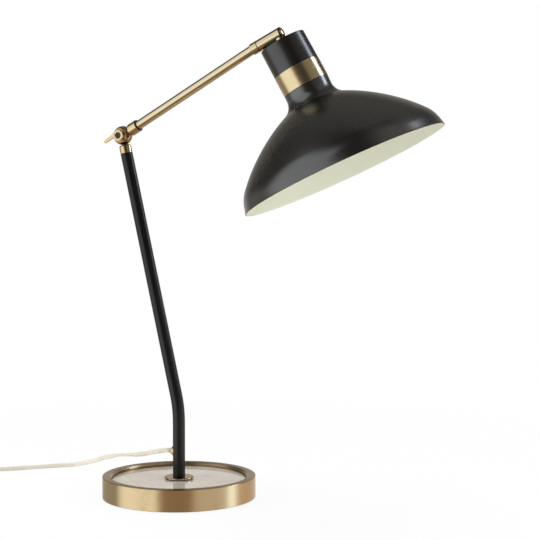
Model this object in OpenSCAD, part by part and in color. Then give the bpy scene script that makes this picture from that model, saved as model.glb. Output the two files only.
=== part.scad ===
// Desk lamp with a leaning black stem, a tilting brass arm and a wide black shade.
// Sizes in millimetres. Origin: centre of the base on the table, +Z up,
// +X from the stem towards the lamp head.

/* [Base] */
// outer diameter of the brass base ring
base_d = 200; // [170:1:230]
// height of the base ring's top above the table
base_h = 29; // [26:1:36]
// thickness of the ring's upright wall
ring_wall = 4; // [3:0.5:6]
// width of the ring's flat top
rim_w = 10; // [8:0.5:14]
// bevel between the flat top and the recess
rim_bevel = 2.3; // [1:0.1:3.2]
// depth of the recess down to the stone disc
disc_sink = 5; // [3.5:0.5:6]
// thickness of the stone disc
disc_t = 8; // [6:0.5:10]
// thickness of the soft pad underneath
pad_t = 3; // [2:0.5:4]

/* [Stem] */
// outer diameter of the stem tube
stem_d = 16; // [15:0.5:18]
// wall of the stem tube
stem_wall = 1.5; // [1.2:0.1:2]
// radius of the bend low on the stem, at the tube's centre line
bend_r = 150; // [80:5:200]
// height at which the two straight lengths of the stem would meet
bend_z = 116.6; // [112:0.1:150]
// lean of the upper length from upright, away from the head
stem_lean = 13.7; // [6:0.1:18]
// length from that meeting point to the centre of the knuckle
stem_len = 366.5; // [300:0.5:420]
// diameter of the brass flange at the stem's foot
flange_d = 38.5; // [36:0.5:50]
// thickness of the flange
flange_t = 1.9; // [1.5:0.1:3]
// diameter of the rubber washer under the flange
washer_d = 35; // [28:0.5:36]
// thickness of that washer
washer_t = 1.3; // [1:0.1:2]
// height of the hole where the cord comes out
exit_z = 60; // [52:1:70]
// length by which the cord's bush stands out of the stem
bush_out = 4.3; // [4:0.1:7]

/* [Knuckle] */
// diameter of the split ball
ball_d = 25.2; // [23:0.1:28]
// length of the ferrule on the stem's top end
ferrule_len = 9.3; // [7:0.1:12]
// diameter of the collar between ball and arm
collar_d = 16.4; // [15:0.1:18]
// length of that collar
collar_len = 12.7; // [10:0.1:16]
// diameter of the thumbscrew's hub
hub_d = 15.8; // [14:0.1:16.4]
// reach of the thumbscrew's blade, from the screw's axis
blade_reach = 24; // [18:0.5:28]
// diameter of the screw that holds the two halves together
screw_d = 6; // [5:0.5:7]

/* [Arm] */
// outer diameter of the arm tube
arm_d = 12; // [10:0.5:12.5]
// wall of the arm tube
arm_wall = 1; // [0.8:0.1:1.2]
// length from the knuckle's centre to the collar at the head end
arm_len = 225; // [180:0.5:280]
// diameter of the swivel's collar and barrel
barrel_d = 15; // [14.6:0.1:17]
// length of the swivel's collar
swivel_len = 10; // [9:0.1:14]
// length of collar and barrel together
barrel_len = 46.7; // [45.6:0.1:50]
// outer diameter of the hollow spindle in the swivel
spindle_d = 8; // [7:0.1:8.4]

/* [Head] */
// distance along the swivel to the middle of the cap
head_pos = 40.8; // [34:0.1:40.8]
// height of the barrel's axis over the cap's flat top
cap_drop = 10.4; // [9:0.1:13]
// diameter of the cap at its top
cap_d = 59.5; // [56:0.1:60]
// diameter of the cap where it meets the band
cap_low_d = 60.1; // [60:0.1:62]
// height of the cap above the band
cap_len = 37.2; // [32:0.1:42]
// outer diameter of the brass band
band_d = 60.7; // [60.6:0.1:63]
// height of the brass band
band_len = 25.6; // [22:0.1:30]
// thickness of the cap's sheet metal
cap_t = 1.2; // [0.8:0.1:1.4]
// outer diameter of the hollow stud that carries the head
stud_d = 8; // [7:0.1:8]

/* [Shade] */
// outer diameter of the shade at its open rim
rim_d = 269.8; // [250:0.2:290]
// height of the shade from its rim to the band
shade_h = 115.3; // [112:0.1:130]
// outer diameter of the shade's neck
neck_d = 60; // [58:0.1:61]
// thickness of the shade's sheet metal
shade_t = 1.2; // [0.8:0.1:1.6]
// flare of the wall at the rim
rim_flare = 14.5; // [10:0.5:18]
// height of the straight wall at the rim
rim_wall = 9.5; // [6:0.1:12]
// radius of the shoulder above that wall
shoulder_r = 44.9; // [34:0.1:48]
// slope at which the shoulder ends and the long flank begins
flank_a = 39.7; // [36:0.1:44]
// slope at which the flank meets the hollow below the neck
hollow_a = 66; // [60:0.5:70]
// radius of that hollow
hollow_r = 19; // [14:0.5:21]
// straight length of the neck
neck_len = 8.5; // [7:0.1:14]

/* [Lampholder and bulb] */
// outer diameter of the lampholder's case
holder_d = 40; // [37:0.1:42]
// diameter of the lampholder's threaded skirt
skirt_d = 36.6; // [36:0.1:38]
// diameter of the bulb's glass
bulb_d = 60; // [50:1:64]
// length of the bulb's glass below its metal base
glass_len = 74; // [66:0.5:80]

/* [Cord] */
// diameter that the flat cord needs, which is its width
cord_d = 6; // [5:0.1:6.4]
// space between neighbouring turns of the coil
coil_gap = 0.5; // [0.45:0.01:0.8]
// radius of the coil's innermost turn
coil_in = 21; // [20:0.1:24]

/* [Pose] */
// angle of the arm above level
arm_angle = 27.8; // [0:0.1:60]
// small dip of the swivel against the arm, from play in its socket
barrel_dip = 2.8; // [0:0.1:3.2]
// turn of the head about the swivel
head_turn = 9.3; // [-60:0.1:60]
// angle by which the stud holds the cap off square to the barrel
head_lean = 2.3; // [0:0.1:3]
// angle by which the shade hangs out of line with the cap
shade_hang = 3.9; // [3:0.1:4.9]
// direction of that hang about the cap's axis, from the barrel's own direction
hang_way = 42; // [0:1:90]

/* [Hidden] */
$fn = 96;
fit = 0.05;
run = 0.08;
play = 0.3;

disc_top = base_h - disc_sink;
disc_low = disc_top - disc_t;
flange_top = disc_top + washer_t + flange_t;
ring_r = base_d / 2;
lip_r = ring_r - rim_w - rim_bevel;
stud_r = 5;
nut_af = 17;
nut_t = 5;
foot_washer_t = 1.5;
foot_washer_d = 26;
foot_room = nut_t + foot_washer_t + 0.5;

stem_r = stem_d / 2;
bore_r = stem_r - stem_wall;
bend_low = bend_z - bend_r * tan(stem_lean / 2);
bend_top = stem_len - bend_r * tan(stem_lean / 2);
ball_x = -stem_len * sin(stem_lean);
ball_z = bend_z + stem_len * cos(stem_lean);
ball_r = ball_d / 2;
neck_top = ball_r + 0.3;
cut_w = 3.2 * ball_r;
ring_at = ball_r + 0.9;
ferrule_at = ball_r + 2.1;
stem_at = ferrule_at + ferrule_len;
bush_r = 6.2;
bush_neck_r = 4;
bush_x = stem_r + bush_out;

flat_y = ball_r - 4;
washer_y = 0.6;
hub_y = flat_y + play;
blade_y = max(flat_y + 0.6, collar_d / 2 + 0.8);
blade_t = 3;
blade_tip_r = 1.8;
blade_root_r = 2.7;
blade_side = 3.5;
blade_dip = 30.6;
hub_end = blade_y + 2.4;
spigot_r = 4;
wire_r = 2;
lead_r = 2.2;

collar_at = ferrule_at;
collar_end = collar_at + collar_len;
arm_in = collar_at + 5.3;
arm_r = arm_d / 2;
arm_bore = arm_r - arm_wall;
barrel_r = barrel_d / 2;
socket_len = 5.5;
spindle_r = spindle_d / 2;
spindle_bore = spindle_r - 1.4;
washer_len = 0.6;
barrel_at = swivel_len + washer_len + play;
bearing_end = barrel_at + 6.5;
spin_nut_r = spindle_r + 1.3;
spin_nut_len = 3.5;
barrel_bore = spin_nut_r + 0.5;
plug_len = 1.7;
barrel_end = barrel_len - plug_len;

stud_or = stud_d / 2;
stud_bore = stud_or - 1.3;
cap_r = cap_d / 2;
cap_low_r = cap_low_d / 2;
band_r = band_d / 2;
sleeve_r = cap_low_r - 0.5;
band_at = cap_drop + cap_len;
band_end = band_at + band_len;
cap_bore = min(cap_r, sleeve_r) - cap_t;
cap_washer_t = 1;
cap_nut_t = 5;
cap_nut_af = 13;

holder_end = band_end + 4;
case_top = band_end - 29.4;
dome_top = case_top - 10;
neck_at = dome_top - 8;
stud_end = dome_top - 2;
skirt_end = holder_end + 16;
plate_t = 1.2;
plate_at = 6;
ring_flange_r = 26;
seat_at = band_end + (plate_at + plate_t) * cos(shade_hang) + ring_flange_r * sin(shade_hang);
shoulder_in_r = 24;
shoulder_at = band_end + plate_at * cos(shade_hang) - shoulder_in_r * sin(shade_hang);
shell_r = holder_d / 2;
skirt_r = skirt_d / 2;
thread_r = 13.2;
bulb_at = skirt_end - 1;
glass_at = bulb_at + 2;
contact_z = bulb_at - 25;

rim_r = rim_d / 2;
shade_neck_r = neck_d / 2;
handle_low = 0.35;
handle_high = 0.28;

// The switch lies past the end of the seen stretch, in line with it.
switch_cord_z = 5;
switch_turn = 231.7;
heading = [cos(switch_turn), sin(switch_turn)];
switch_len = 55;
switch_w = 22;
switch_low = 7;
switch_h = 15;
switch_chamfer = 2.5;
rocker_z = 8.6;
rocker_r = 7.6;
rocker_w = 7.4;
rocker_floor = 3.4;
axle_r = 1.1;
axle_out = 1.6;
rocker_tilt = 8;
switch_at = [-333, -5.5, 0];

// Route of the free cord from the stem to the switch on the lead. The heights
// are shares of the height of the exit.
function hang(share) = cord_d / 2 + share * (exit_z - cord_d / 2);
free_route = [
    [-bush_x, 0, exit_z],
    [-bush_x - 7, 0, exit_z],
    [-42, 3, hang(0.912)],
    [-69, 14, hang(0.789)],
    [-99, 29, hang(0.684)],
    [-133, 49, hang(0.561)],
    [-174, 76, hang(0.368)],
    [-208, 92, hang(0.175)],
    [-240, 94, hang(0.035)],
    [-264, 80, hang(0)],
    [-288, 51, hang(0)],
    [-302, 33.5, hang(0)],
    [-316, 16, hang(0.009)],
    [switch_at[0] - 7 * heading[0], switch_at[1] - 7 * heading[1], switch_cord_z],
    [switch_at[0], switch_at[1], switch_cord_z]
];

// The coil: one layer spirals in, the next spirals out on top of it.
coil_in_turns = 3;
coil_out_turns = 3.439;
coil_start = 141.7;
coil_pitch = cord_d + coil_gap;
lead_in = 40;
lead_out = 26;
tie_a = 215;
tie_lift = 1.6;
tie_t = 1.1;
tie_w = 9;
coil_r0 = coil_in + coil_pitch * coil_in_turns;
coil_r1 = coil_in + coil_pitch * coil_out_turns;
coil_end_a = coil_start + 360 * (coil_in_turns + coil_out_turns);
switch_out = [
    switch_at[0] + switch_len * heading[0],
    switch_at[1] + switch_len * heading[1]
];
coil_c = [
    switch_out[0] + lead_in * heading[0] - coil_r0 * cos(coil_start),
    switch_out[1] + lead_in * heading[1] - coil_r0 * sin(coil_start)
];
plug_axis_z = 7.5;
plug_w = 25;
plug_h = 15;
plug_len_body = 28;
relief_len = 24;
blade_out = 17;
out_dir = [-sin(coil_end_a), cos(coil_end_a)];
plug_at = [
    coil_c[0] + coil_r1 * cos(coil_end_a) + lead_out * out_dir[0],
    coil_c[1] + coil_r1 * sin(coil_end_a) + lead_out * out_dir[1]
];

// Frames. Each puts +Z along the piece it is named after.
module in_stem() {
    translate([ball_x, 0, ball_z])
        rotate([0, -stem_lean, 0])
            children();
}

module in_arm() {
    translate([ball_x, 0, ball_z])
        rotate([0, 90 - arm_angle, 0])
            children();
}

module in_barrel() {
    in_arm()
        translate([0, 0, arm_len])
            rotate([0, barrel_dip, 0])
                children();
}

// origin where the cap's axis meets the barrel's axis, +Z up out of the cap
module in_cap() {
    in_barrel()
        translate([0, 0, head_pos])
            rotate([0, 0, head_turn])
                rotate([0, -90 - head_lean, 0])
                    children();
}

// origin in the middle of the band's lower edge, +Z up along the shade
module in_shade() {
    in_cap()
        translate([0, 0, -band_end])
            rotate([0, shade_hang, hang_way])
                children();
}

module in_switch() {
    translate(switch_at)
        rotate([0, 0, switch_turn])
            children();
}

module in_plug() {
    translate([plug_at[0], plug_at[1], plug_axis_z])
        rotate([0, 0, coil_end_a + 90])
            children();
}

module tube(ro, ri, z0, z1) {
    translate([0, 0, z0])
        difference() {
            cylinder(r = ro, h = z1 - z0);
            translate([0, 0, -1])
                cylinder(r = ri, h = z1 - z0 + 2);
        }
}

// solid round bar between two distances measured down from a frame's origin
module bar(r, top, low) {
    translate([0, 0, -low])
        cylinder(r = r, h = low - top);
}

module hexagon(af, h) {
    cylinder(d = af / cos(30), h = h, $fn = 6);
}

// the stem's centre line, swept with a given radius
module stem_line(r, low, top) {
    translate([0, 0, low])
        cylinder(r = r, h = bend_low - low);
    translate([-bend_r, 0, bend_low])
        rotate([90, 0, 0])
            rotate_extrude(angle = stem_lean)
                translate([bend_r, 0])
                    circle(r = r);
    in_stem()
        translate([0, 0, -bend_top])
            cylinder(r = r, h = bend_top - top);
}

// Base
module base_pad() {
    color("#2b2b2c")
        cylinder(r = ring_r - ring_wall - 0.5, h = pad_t);
}

module base_weight() {
    color("#4a4a4c")
        difference() {
            translate([0, 0, pad_t])
                cylinder(r = ring_r - ring_wall - 0.5, h = disc_low - pad_t);
            translate([0, 0, pad_t - 1])
                cylinder(d = foot_washer_d + 4, h = foot_room + 1);
            cylinder(r = stud_r + play, h = base_h);
        }
}

module base_ring() {
    color("#b08d57")
        rotate_extrude($fn = 180)
            polygon([
                [ring_r - ring_wall, 1],
                [ring_r - 0.6, 1],
                [ring_r, 1.6],
                [ring_r, base_h - 0.8],
                [ring_r - 0.8, base_h],
                [lip_r + rim_bevel, base_h],
                [lip_r, base_h - rim_bevel],
                [lip_r, disc_low],
                [ring_r - ring_wall, disc_low]
            ]);
}

module stone_disc() {
    color("#d8cec4")
        tube(lip_r - play, stud_r + play, disc_low, disc_top);
}

module flange_washer() {
    color("#1c1c1c")
        tube(washer_d / 2, stud_r + play, disc_top, disc_top + washer_t);
}

module stem_flange() {
    r = flange_t / 2;
    color("#b08d57")
        difference() {
            translate([0, 0, disc_top + washer_t])
                union() {
                    cylinder(d = flange_d - 2 * r, h = flange_t);
                    rotate_extrude()
                        translate([flange_d / 2 - r, r])
                            circle(r = r, $fn = 32);
                }
            cylinder(r = stud_r + play, h = flange_top + 1);
        }
}

module stem_spigot() {
    color("#8d8f92") {
        translate([0, 0, flange_top])
            cylinder(r = bore_r - fit, h = 11);
        translate([0, 0, pad_t + 1])
            cylinder(r = stud_r, h = flange_top - pad_t - 1);
    }
}

module foot_washer() {
    top = pad_t + foot_room;
    color("#8d8f92")
        tube(foot_washer_d / 2, stud_r + 0.2, top - foot_washer_t, top);
}

module foot_nut() {
    top = pad_t + foot_room - foot_washer_t;
    color("#8d8f92")
        difference() {
            translate([0, 0, top - nut_t])
                hexagon(nut_af, nut_t);
            cylinder(r = stud_r + fit, h = base_h);
        }
}

// Stem
module stem_tube() {
    color("#1f1f21")
        difference() {
            stem_line(stem_r, flange_top, stem_at);
            stem_line(bore_r, flange_top - 1, stem_at - 1);
            translate([-stem_r - 1, 0, exit_z])
                rotate([0, 90, 0])
                    cylinder(r = bush_neck_r + fit, h = stem_r);
        }
}

module cord_bush() {
    color("#a5824d")
        difference() {
            translate([0, 0, exit_z])
                rotate([0, -90, 0])
                    rotate_extrude()
                        polygon([
                            [0, bore_r - 1],
                            [bush_neck_r, bore_r - 1],
                            [bush_neck_r, stem_r - 3.2],
                            [bush_r, stem_r - 3.2],
                            [bush_r, bush_x - 3.3],
                            [cord_d / 2 + 0.1, bush_x],
                            [0, bush_x]
                        ]);
            difference() {
                translate([0, 0, exit_z - 8])
                    cylinder(r = stem_r, h = 16);
                translate([-stem_r - 1, 0, exit_z])
                    rotate([0, 90, 0])
                        cylinder(r = bush_neck_r, h = stem_r);
            }
        }
}

module stem_lead() {
    color("#d9d4c4")
        translate([0, bore_r - lead_r - play, 0])
            stem_line(lead_r, exit_z - 6, stem_at + 12.5);
}

// Knuckle
module stem_ferrule() {
    color("#b08d57")
        in_stem()
            difference() {
                union() {
                    rotate_extrude()
                        polygon([
                            [0, -ferrule_at],
                            [stem_r - 0.4, -ferrule_at],
                            [stem_r, -ferrule_at - 0.4],
                            [stem_r, -stem_at],
                            [0, -stem_at]
                        ]);
                    bar(bore_r - fit, stem_at - 1, stem_at + 12);
                }
                bar(spigot_r + fit, ferrule_at - 1, ferrule_at + 7.5);
                bar(wire_r + 1, ferrule_at, stem_at + 13);
            }
}

module ferrule_washer() {
    color("#161616")
        in_stem()
            tube(stem_r - 0.8, spigot_r + 0.9, -ferrule_at, -ring_at);
}

// the half ball behind the split, with its neck; the wires pass through the neck
module knuckle_lower() {
    color("#a5824d")
        in_stem()
            difference() {
                union() {
                    sphere(r = ball_r);
                    bar(spigot_r + 0.8, 5, ferrule_at);
                    bar(spigot_r, ferrule_at - 1, ferrule_at + 7);
                }
                translate([-cut_w / 2, washer_y - cut_w, -neck_top])
                    cube(cut_w);
                rotate([-90, 0, 0])
                    cylinder(d = screw_d + 2 * run, h = ball_r - 2.5);
                bar(wire_r, neck_top - 3, ferrule_at + 8);
            }
}

module knuckle_washer() {
    color("#161616")
        in_stem()
            rotate([-90, 0, 0])
                tube(ball_r - 2.6, screw_d / 2 + play, 0, washer_y);
}

module knuckle_upper() {
    color("#a5824d")
        in_arm()
            difference() {
                union() {
                    sphere(r = ball_r);
                    translate([0, 0, 5])
                        cylinder(r = spigot_r + 0.8, h = collar_at - 5);
                    translate([0, 0, collar_at - 1])
                        cylinder(r = spigot_r, h = 5.5);
                }
                translate([-cut_w / 2, -play, neck_top - cut_w])
                    cube(cut_w);
                translate([-cut_w / 2, -cut_w - flat_y, neck_top - cut_w])
                    cube(cut_w);
                rotate([90, 0, 0])
                    translate([0, 0, -1])
                        cylinder(d = screw_d + 2 * play, h = ball_r + 2);
                translate([0, 0, neck_top - 3])
                    cylinder(r = wire_r, h = 20);
            }
}

module wing_screw() {
    color("#b08d57")
        translate([ball_x, 0, ball_z])
            rotate([0, -blade_dip, 0])
                rotate([90, 0, 0])
                    difference() {
                        union() {
                            translate([0, 0, -(ball_r - 4.5)])
                                cylinder(d = screw_d, h = ball_r - 4.5 + hub_y + 0.5);
                            rotate_extrude()
                                polygon([
                                    [0, hub_y],
                                    [hub_d / 2, hub_y],
                                    [hub_d / 2, hub_end - 1],
                                    [hub_d / 2 - 0.8, hub_end],
                                    [0, hub_end]
                                ]);
                            translate([0, 0, blade_y])
                                linear_extrude(height = blade_t)
                                    union() {
                                        polygon([
                                            [-4, blade_side + blade_root_r],
                                            [-4, blade_side - blade_root_r],
                                            [blade_tip_r - blade_reach, blade_side - blade_tip_r],
                                            [blade_tip_r - blade_reach, blade_side + blade_tip_r]
                                        ]);
                                        translate([blade_tip_r - blade_reach, blade_side])
                                            circle(r = blade_tip_r);
                                    }
                        }
                        translate([0, 0, hub_end - 1.6])
                            cylinder(d = 9, h = 5);
                    }
}

module screw_insert() {
    color("#161616")
        translate([ball_x, -hub_end + 1.6, ball_z])
            rotate([90, 0, 0])
                difference() {
                    cylinder(d = 8.6, h = 0.9);
                    translate([0, 0, 0.3])
                        hexagon(4, 2);
                }
}

// Arm
module arm_collar() {
    color("#b08d57")
        in_arm()
            difference() {
                rotate_extrude()
                    polygon([
                        [0, collar_at],
                        [collar_d / 2 - 0.5, collar_at],
                        [collar_d / 2, collar_at + 0.5],
                        [collar_d / 2, collar_end],
                        [0, collar_end]
                    ]);
                translate([0, 0, collar_at - 1])
                    cylinder(r = spigot_r + fit, h = 10);
                translate([0, 0, arm_in])
                    cylinder(r = arm_r + fit, h = 30);
            }
}

module collar_ring() {
    color("#161616")
        in_arm()
            tube(collar_d / 2 - 0.3, arm_r + fit, collar_end, collar_end + 0.9);
}

module arm_tube() {
    color("#b8965c")
        in_arm()
            tube(arm_r, arm_bore, arm_in, arm_len + socket_len);
}

module arm_lead() {
    color("#d9d4c4")
        in_arm()
            translate([arm_bore - lead_r - play, 0, arm_in + 2])
                cylinder(r = lead_r, h = arm_len - arm_in - 4);
}

module arm_end_collar() {
    color("#b08d57")
        in_barrel()
            difference() {
                cylinder(r = barrel_r, h = swivel_len);
                rotate([0, -barrel_dip, 0])
                    translate([0, 0, -3])
                        cylinder(r = arm_r + fit, h = socket_len + 3 + fit);
                cylinder(r = spindle_r + fit, h = 30);
            }
}

module swivel_spindle() {
    color("#8d8f92")
        in_barrel()
            tube(spindle_r, spindle_bore, socket_len + 1, bearing_end + play + spin_nut_len + 1.5);
}

module spindle_nut() {
    at = bearing_end + play;
    color("#8d8f92")
        in_barrel()
            difference() {
                tube(spin_nut_r, spindle_r + fit, at, at + spin_nut_len);
                for (a = [0, 180])
                    rotate([0, 0, a])
                        translate([spindle_r + 0.6, -0.8, at + 2.5])
                            cube([3, 1.6, 3]);
            }
}

module swivel_washer() {
    color("#161616")
        in_barrel()
            tube(barrel_r - 0.4, spindle_r + fit, swivel_len, swivel_len + washer_len);
}

// Head
module head_barrel() {
    color("#b08d57")
        difference() {
            in_barrel()
                difference() {
                    tube(barrel_r, spindle_r + run, barrel_at, barrel_end);
                    translate([0, 0, bearing_end])
                        cylinder(r = barrel_bore, h = barrel_len);
                }
            in_cap()
                bar(stud_or + fit, 0, 20);
        }
}

module barrel_plug() {
    color("#33291c")
        in_barrel()
            rotate_extrude()
                polygon([
                    [2 + fit, barrel_end],
                    [barrel_r, barrel_end],
                    [barrel_r, barrel_len - 0.9],
                    [barrel_r - 0.9, barrel_len],
                    [2 + fit, barrel_len]
                ]);
}

module barrel_screw() {
    color("#c7a263")
        in_barrel() {
            translate([0, 0, barrel_end])
                cylinder(r = 2, h = plug_len);
            translate([0, 0, barrel_len])
                rotate_extrude()
                    intersection() {
                        translate([0, -6.1])
                            circle(r = 8.0);
                        square([5.2, 3]);
                    }
        }
}

module head_saddle() {
    color("#b08d57")
        difference() {
            in_cap()
                bar(6.5, barrel_r * 0.6, cap_drop);
            in_barrel()
                cylinder(r = barrel_r, h = barrel_len + 10);
            in_cap()
                bar(stud_or + fit, -1, 20);
        }
}

module head_stud() {
    color("#8d8f92")
        in_cap()
            difference() {
                bar(stud_or, barrel_bore * 0.62, stud_end);
                bar(stud_bore, 0, stud_end + 1);
            }
}

module cap_washer() {
    color("#8d8f92")
        in_cap()
            difference() {
                bar(10, cap_drop + cap_t, cap_drop + cap_t + cap_washer_t);
                bar(stud_or + 0.2, 0, 30);
            }
}

module cap_nut() {
    top = cap_drop + cap_t + cap_washer_t;
    color("#8d8f92")
        in_cap()
            difference() {
                translate([0, 0, -top - cap_nut_t])
                    hexagon(cap_nut_af, cap_nut_t);
                bar(stud_or + fit, 0, 30);
            }
}

module head_cap() {
    color("#1f1f21")
        in_cap()
            rotate_extrude()
                polygon([
                    [stud_or + play, -cap_drop],
                    [cap_r - 0.9, -cap_drop],
                    [cap_r - 0.25, -cap_drop - 0.3],
                    [cap_r, -cap_drop - 0.9],
                    [cap_low_r, -band_at],
                    [sleeve_r, -band_at],
                    [sleeve_r, -band_end + 0.4],
                    [cap_bore, -band_end + 0.4],
                    [cap_bore, -cap_drop - cap_t],
                    [stud_or + play, -cap_drop - cap_t]
                ]);
}

module head_band() {
    color("#b8965c")
        in_cap()
            rotate_extrude()
                polygon([
                    [sleeve_r + fit, -band_at],
                    [band_r - 0.2, -band_at],
                    [band_r, -band_at - 0.2],
                    [band_r, -band_end + 0.2],
                    [band_r - 0.2, -band_end],
                    [sleeve_r + fit, -band_end]
                ]);
}

// Lampholder
module holder_dome() {
    color("#1f1f21")
        in_cap()
            rotate_extrude()
                polygon([
                    [stud_or + fit, -neck_at],
                    [stud_or + 2.2, -neck_at],
                    [stud_or + 2.6, -dome_top],
                    [shell_r - 5, -dome_top - 2.5],
                    [shell_r - 1.6, -dome_top - 5.5],
                    [shell_r, -case_top],
                    [shell_r - 1.6, -case_top],
                    [shell_r - 3.2, -dome_top - 6.5],
                    [shell_r - 6.5, -dome_top - 4.2],
                    [stud_or + fit, -dome_top - 1.8]
                ]);
}

module holder_case() {
    color("#1f1f21")
        in_cap()
            rotate_extrude()
                polygon([
                    [shell_r - 1.6, -case_top],
                    [shell_r, -case_top],
                    [shell_r, -shoulder_at + 1.6],
                    [shoulder_in_r, -shoulder_at + 1.6],
                    [shoulder_in_r, -shoulder_at + fit],
                    [skirt_r + fit, -shoulder_at + fit],
                    [skirt_r + fit, -shoulder_at + 4],
                    [shell_r - 1.6, -shoulder_at + 6]
                ]);
}

module holder_block() {
    color("#e6e2d8")
        in_cap()
            difference() {
                bar(thread_r + 1.5, case_top + 6, contact_z - 1);
                bar(wire_r + 1, case_top, contact_z - 2);
            }
}

module holder_sleeve() {
    color("#c7a263")
        in_cap()
            difference() {
                bar(thread_r + 1.3, contact_z - 1, skirt_end - 2);
                bar(thread_r + 0.3, contact_z, skirt_end);
            }
}

module holder_skirt() {
    color("#1f1f21")
        in_cap()
            difference() {
                union() {
                    bar(skirt_r, shoulder_at - 2.5, skirt_end);
                    bar(shell_r - 1.7, case_top + 7, case_top + 10);
                    bar(thread_r + 3, case_top + 7, skirt_end);
                }
                bar(thread_r + 1.5 + fit, case_top, skirt_end + 1);
            }
}

module shade_ring() {
    color("#1f1f21")
        in_cap()
            difference() {
                union() {
                    bar(ring_flange_r, seat_at + fit, seat_at + 2);
                    bar(skirt_r + 2.4, seat_at + 1, seat_at + 8);
                }
                bar(skirt_r + fit, seat_at - 1, seat_at + 9);
            }
}

module shade_plate() {
    color("#1f1f21")
        in_shade()
            difference() {
                bar(shade_neck_r - shade_t - fit, plate_at, plate_at + plate_t);
                bar(skirt_r + 1.6, 0, 20);
            }
}

// Shade: the outline from the rim up to the neck, at a depth d below the skin.
// The straight wall, the shoulder, the long flank and the hollow follow each other.
wall_top = [rim_r - rim_wall * tan(rim_flare), rim_wall];
shoulder_c = wall_top - shoulder_r * [cos(rim_flare), sin(rim_flare)];
hollow_z = shade_h - neck_len;
hollow_c = [shade_neck_r + hollow_r, hollow_z];
flank_0 = shoulder_c + shoulder_r * [cos(flank_a), sin(flank_a)];
flank_3 = hollow_c - hollow_r * [cos(hollow_a), sin(hollow_a)];
flank_len = norm(flank_3 - flank_0);
flank_1 = flank_0 + handle_low * flank_len * [-sin(flank_a), cos(flank_a)];
flank_2 = flank_3 - handle_high * flank_len * [-sin(hollow_a), cos(hollow_a)];
function flank(u) =
    pow(1 - u, 3) * flank_0 + 3 * pow(1 - u, 2) * u * flank_1
    + 3 * (1 - u) * u * u * flank_2 + pow(u, 3) * flank_3;
function flank_way(u) =
    pow(1 - u, 2) * (flank_1 - flank_0) + 2 * (1 - u) * u * (flank_2 - flank_1)
    + u * u * (flank_3 - flank_2);
function flank_in(u, d) =
    let (w = flank_way(u), n = [w[1], -w[0]] / norm(w)) flank(u) - d * n;
function skin(d) = concat(
    [[rim_r - d / cos(rim_flare), 0]],
    [for (i = [0 : 6])
        let (a = rim_flare + (flank_a - rim_flare) * i / 6)
            shoulder_c + (shoulder_r - d) * [cos(a), sin(a)]],
    [for (i = [1 : 11]) flank_in(i / 12, d)],
    [for (i = [0 : 7])
        let (a = hollow_a * (1 - i / 7))
            hollow_c - (hollow_r + d) * [cos(a), sin(a)]],
    [[shade_neck_r - d, shade_h + 6]]
);
function turned(p) = [for (i = [len(p) - 1 : -1 : 0]) p[i]];

module shade() {
    color("#1f1f21")
        difference() {
            in_shade()
                translate([0, 0, -shade_h])
                    rotate([0, 0, 90])
                        rotate_extrude($fn = 180)
                            polygon(concat(skin(0), turned(skin(shade_t))));
            in_cap()
                translate([0, 0, -band_end - play])
                    cylinder(r = band_r + 20, h = 30);
        }
}

// Bulb
module bulb_base() {
    color("#b9bcc0")
        in_cap()
            rotate_extrude()
                polygon([
                    [0, -contact_z - fit],
                    [4.5, -contact_z - fit],
                    [5, -contact_z - 1.4],
                    [thread_r - 2, -contact_z - 3.4],
                    [thread_r, -contact_z - 5],
                    [thread_r, -bulb_at],
                    [thread_r + 0.6, -bulb_at],
                    [thread_r + 0.6, -glass_at],
                    [0, -glass_at]
                ]);
}

module bulb_glass() {
    r = bulb_d / 2;
    low = glass_at + glass_len - r;
    w = thread_r + 0.4;
    // the neck's hollow flank is tangent to the round glass
    q = (pow(low - glass_at, 2) + pow(w, 2) - r * r) / (2 * (r - w));
    a = atan2(low - glass_at, w + q);
    color("#f4f1e8")
        in_cap()
            rotate_extrude()
                polygon(concat(
                    [[0, -glass_at - fit]],
                    [for (i = [0 : 8])
                        let (b = a * i / 8)
                            [w + q - q * cos(b), -glass_at - fit - q * sin(b)]],
                    [for (i = [1 : 24])
                        let (b = a - (a + 90) * i / 24)
                            [r * cos(b), -low + r * sin(b)]]
                ));
}

module head_lead() {
    color("#d9d4c4")
        in_cap()
            translate([stud_bore - lead_r - 0.1, 0, 0])
                bar(lead_r, barrel_bore * 0.62, case_top + 4);
}

// Cord: a round form along a list of points. Rings stand square to the way.
function way(p, i) =
    let (d = p[min(i + 1, len(p) - 1)] - p[max(i - 1, 0)]) d / norm(d);
function ring_of(p, i, r, n) =
    let (
        t = way(p, i),
        s = cross(t, [0, 0, 1]) / norm(cross(t, [0, 0, 1])),
        u = cross(s, t)
    )
    [for (j = [0 : n - 1]) p[i] + r * (cos(360 * j / n) * s + sin(360 * j / n) * u)];

module rope(p, r, n) {
    m = len(p);
    polyhedron(
        points = [for (i = [0 : m - 1]) each ring_of(p, i, r, n)],
        faces = concat(
            [[for (j = [n - 1 : -1 : 0]) j]],
            [for (i = [0 : m - 2], j = [0 : n - 1])
                [i * n + j, i * n + (j + 1) % n, (i + 1) * n + (j + 1) % n]],
            [for (i = [0 : m - 2], j = [0 : n - 1])
                [i * n + j, (i + 1) * n + (j + 1) % n, (i + 1) * n + j]],
            [[for (j = [0 : n - 1]) (m - 1) * n + j]]
        ),
        convexity = 10
    );
}

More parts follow.
